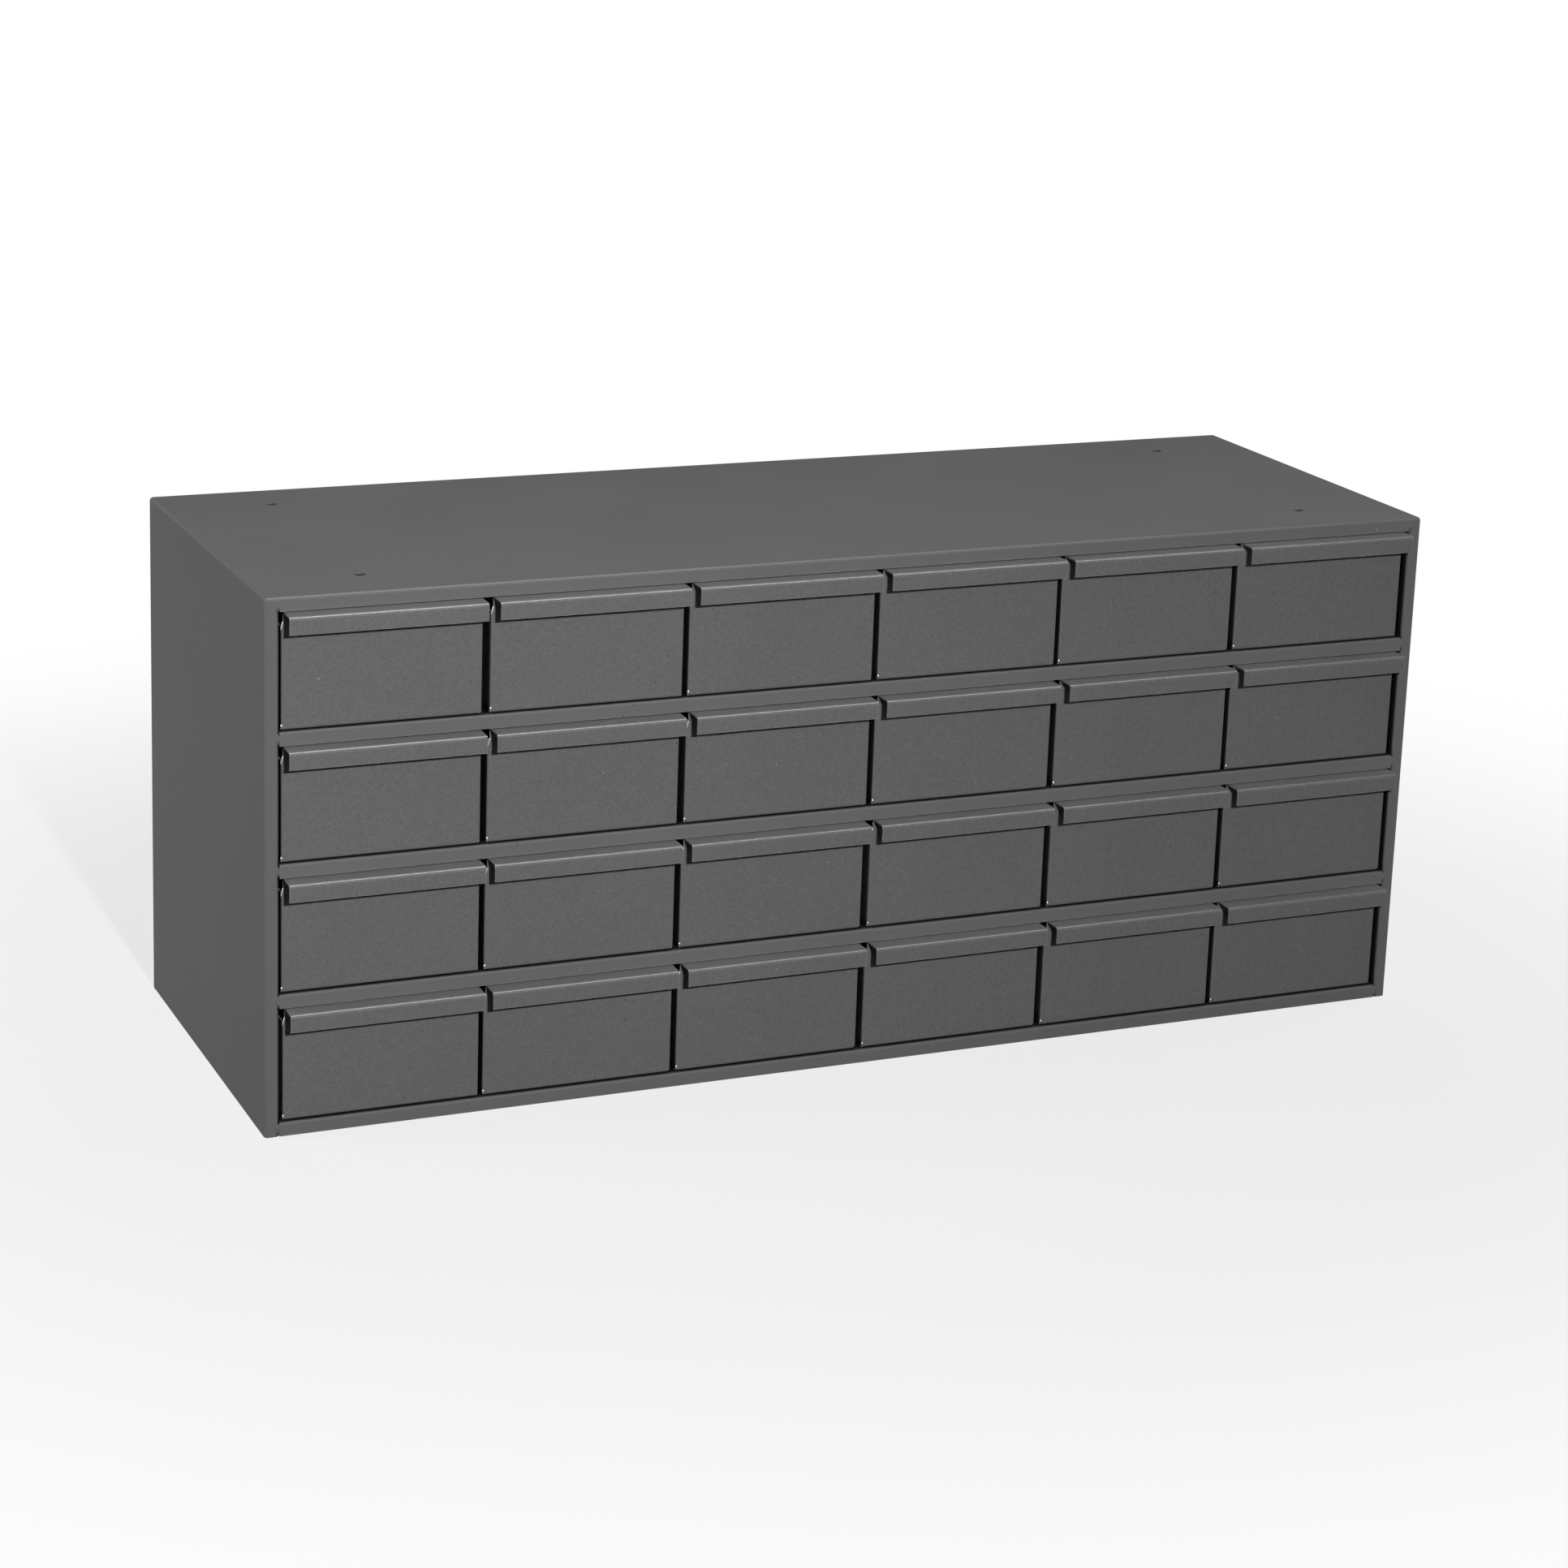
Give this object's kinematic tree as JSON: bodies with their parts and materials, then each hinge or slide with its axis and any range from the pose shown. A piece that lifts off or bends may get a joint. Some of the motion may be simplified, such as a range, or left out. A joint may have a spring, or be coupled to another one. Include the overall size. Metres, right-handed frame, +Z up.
{
  "type": "parts bin cabinet",
  "caption": "Low steel cabinet with a grid of pull-out small-parts bins, each with a folded full-width handle and a divider, and bolt holes for stacking.",
  "frame": {"origin": "bottom centre of the whole cabinet with its bins closed, on the surface it stands on", "axes": "+X to the cabinet's right seen from the front, -Y out of the front where the bins slide, +Z up"},
  "size_m": [0.8572, 0.3112, 0.3651],
  "materials": {
    "cabinet_enamel": "semi-gloss baked enamel on folded steel sheet",
    "bin_enamel": "semi-gloss baked enamel on folded steel sheet"
  },
  "bodies": {
    "cabinet": {"cabinet_shell": "cabinet_enamel", "bottom_panel": "cabinet_enamel", "back_panel": "cabinet_enamel", "shelf_1": "cabinet_enamel", "shelf_2": "cabinet_enamel", "shelf_3": "cabinet_enamel", "shelf_4": "cabinet_enamel", "drawer_guides_1": "cabinet_enamel", "drawer_guides_2": "cabinet_enamel", "drawer_guides_3": "cabinet_enamel", "drawer_guides_4": "cabinet_enamel"},
    "bin_r1c1": {"drawer_r1c1": "bin_enamel", "divider_r1c1": "bin_enamel"},
    "bin_r1c2": {"drawer_r1c2": "bin_enamel", "divider_r1c2": "bin_enamel"},
    "bin_r1c3": {"drawer_r1c3": "bin_enamel", "divider_r1c3": "bin_enamel"},
    "bin_r1c4": {"drawer_r1c4": "bin_enamel", "divider_r1c4": "bin_enamel"},
    "bin_r1c5": {"drawer_r1c5": "bin_enamel", "divider_r1c5": "bin_enamel"},
    "bin_r1c6": {"drawer_r1c6": "bin_enamel", "divider_r1c6": "bin_enamel"},
    "bin_r2c1": {"drawer_r2c1": "bin_enamel", "divider_r2c1": "bin_enamel"},
    "bin_r2c2": {"drawer_r2c2": "bin_enamel", "divider_r2c2": "bin_enamel"},
    "bin_r2c3": {"drawer_r2c3": "bin_enamel", "divider_r2c3": "bin_enamel"},
    "bin_r2c4": {"drawer_r2c4": "bin_enamel", "divider_r2c4": "bin_enamel"},
    "bin_r2c5": {"drawer_r2c5": "bin_enamel", "divider_r2c5": "bin_enamel"},
    "bin_r2c6": {"drawer_r2c6": "bin_enamel", "divider_r2c6": "bin_enamel"},
    "bin_r3c1": {"drawer_r3c1": "bin_enamel", "divider_r3c1": "bin_enamel"},
    "bin_r3c2": {"drawer_r3c2": "bin_enamel", "divider_r3c2": "bin_enamel"},
    "bin_r3c3": {"drawer_r3c3": "bin_enamel", "divider_r3c3": "bin_enamel"},
    "bin_r3c4": {"drawer_r3c4": "bin_enamel", "divider_r3c4": "bin_enamel"},
    "bin_r3c5": {"drawer_r3c5": "bin_enamel", "divider_r3c5": "bin_enamel"},
    "bin_r3c6": {"drawer_r3c6": "bin_enamel", "divider_r3c6": "bin_enamel"},
    "bin_r4c1": {"drawer_r4c1": "bin_enamel", "divider_r4c1": "bin_enamel"},
    "bin_r4c2": {"drawer_r4c2": "bin_enamel", "divider_r4c2": "bin_enamel"},
    "bin_r4c3": {"drawer_r4c3": "bin_enamel", "divider_r4c3": "bin_enamel"},
    "bin_r4c4": {"drawer_r4c4": "bin_enamel", "divider_r4c4": "bin_enamel"},
    "bin_r4c5": {"drawer_r4c5": "bin_enamel", "divider_r4c5": "bin_enamel"},
    "bin_r4c6": {"drawer_r4c6": "bin_enamel", "divider_r4c6": "bin_enamel"}
  },
  "joints": [
    {"name": "bin_r1c1_slide", "type": "slide", "parent": "cabinet", "child": "bin_r1c1", "axis": [0, -1, 0], "range_m": [0, 0.2841]},
    {"name": "bin_r1c2_slide", "type": "slide", "parent": "cabinet", "child": "bin_r1c2", "axis": [0, -1, 0], "range_m": [0, 0.2841]},
    {"name": "bin_r1c3_slide", "type": "slide", "parent": "cabinet", "child": "bin_r1c3", "axis": [0, -1, 0], "range_m": [0, 0.2841]},
    {"name": "bin_r1c4_slide", "type": "slide", "parent": "cabinet", "child": "bin_r1c4", "axis": [0, -1, 0], "range_m": [0, 0.2841]},
    {"name": "bin_r1c5_slide", "type": "slide", "parent": "cabinet", "child": "bin_r1c5", "axis": [0, -1, 0], "range_m": [0, 0.2841]},
    {"name": "bin_r1c6_slide", "type": "slide", "parent": "cabinet", "child": "bin_r1c6", "axis": [0, -1, 0], "range_m": [0, 0.2841]},
    {"name": "bin_r2c1_slide", "type": "slide", "parent": "cabinet", "child": "bin_r2c1", "axis": [0, -1, 0], "range_m": [0, 0.2841]},
    {"name": "bin_r2c2_slide", "type": "slide", "parent": "cabinet", "child": "bin_r2c2", "axis": [0, -1, 0], "range_m": [0, 0.2841]},
    {"name": "bin_r2c3_slide", "type": "slide", "parent": "cabinet", "child": "bin_r2c3", "axis": [0, -1, 0], "range_m": [0, 0.2841]},
    {"name": "bin_r2c4_slide", "type": "slide", "parent": "cabinet", "child": "bin_r2c4", "axis": [0, -1, 0], "range_m": [0, 0.2841]},
    {"name": "bin_r2c5_slide", "type": "slide", "parent": "cabinet", "child": "bin_r2c5", "axis": [0, -1, 0], "range_m": [0, 0.2841]},
    {"name": "bin_r2c6_slide", "type": "slide", "parent": "cabinet", "child": "bin_r2c6", "axis": [0, -1, 0], "range_m": [0, 0.2841]},
    {"name": "bin_r3c1_slide", "type": "slide", "parent": "cabinet", "child": "bin_r3c1", "axis": [0, -1, 0], "range_m": [0, 0.2841]},
    {"name": "bin_r3c2_slide", "type": "slide", "parent": "cabinet", "child": "bin_r3c2", "axis": [0, -1, 0], "range_m": [0, 0.2841]},
    {"name": "bin_r3c3_slide", "type": "slide", "parent": "cabinet", "child": "bin_r3c3", "axis": [0, -1, 0], "range_m": [0, 0.2841]},
    {"name": "bin_r3c4_slide", "type": "slide", "parent": "cabinet", "child": "bin_r3c4", "axis": [0, -1, 0], "range_m": [0, 0.2841]},
    {"name": "bin_r3c5_slide", "type": "slide", "parent": "cabinet", "child": "bin_r3c5", "axis": [0, -1, 0], "range_m": [0, 0.2841]},
    {"name": "bin_r3c6_slide", "type": "slide", "parent": "cabinet", "child": "bin_r3c6", "axis": [0, -1, 0], "range_m": [0, 0.2841]},
    {"name": "bin_r4c1_slide", "type": "slide", "parent": "cabinet", "child": "bin_r4c1", "axis": [0, -1, 0], "range_m": [0, 0.2841]},
    {"name": "bin_r4c2_slide", "type": "slide", "parent": "cabinet", "child": "bin_r4c2", "axis": [0, -1, 0], "range_m": [0, 0.2841]},
    {"name": "bin_r4c3_slide", "type": "slide", "parent": "cabinet", "child": "bin_r4c3", "axis": [0, -1, 0], "range_m": [0, 0.2841]},
    {"name": "bin_r4c4_slide", "type": "slide", "parent": "cabinet", "child": "bin_r4c4", "axis": [0, -1, 0], "range_m": [0, 0.2841]},
    {"name": "bin_r4c5_slide", "type": "slide", "parent": "cabinet", "child": "bin_r4c5", "axis": [0, -1, 0], "range_m": [0, 0.2841]},
    {"name": "bin_r4c6_slide", "type": "slide", "parent": "cabinet", "child": "bin_r4c6", "axis": [0, -1, 0], "range_m": [0, 0.2841]}
  ]
}
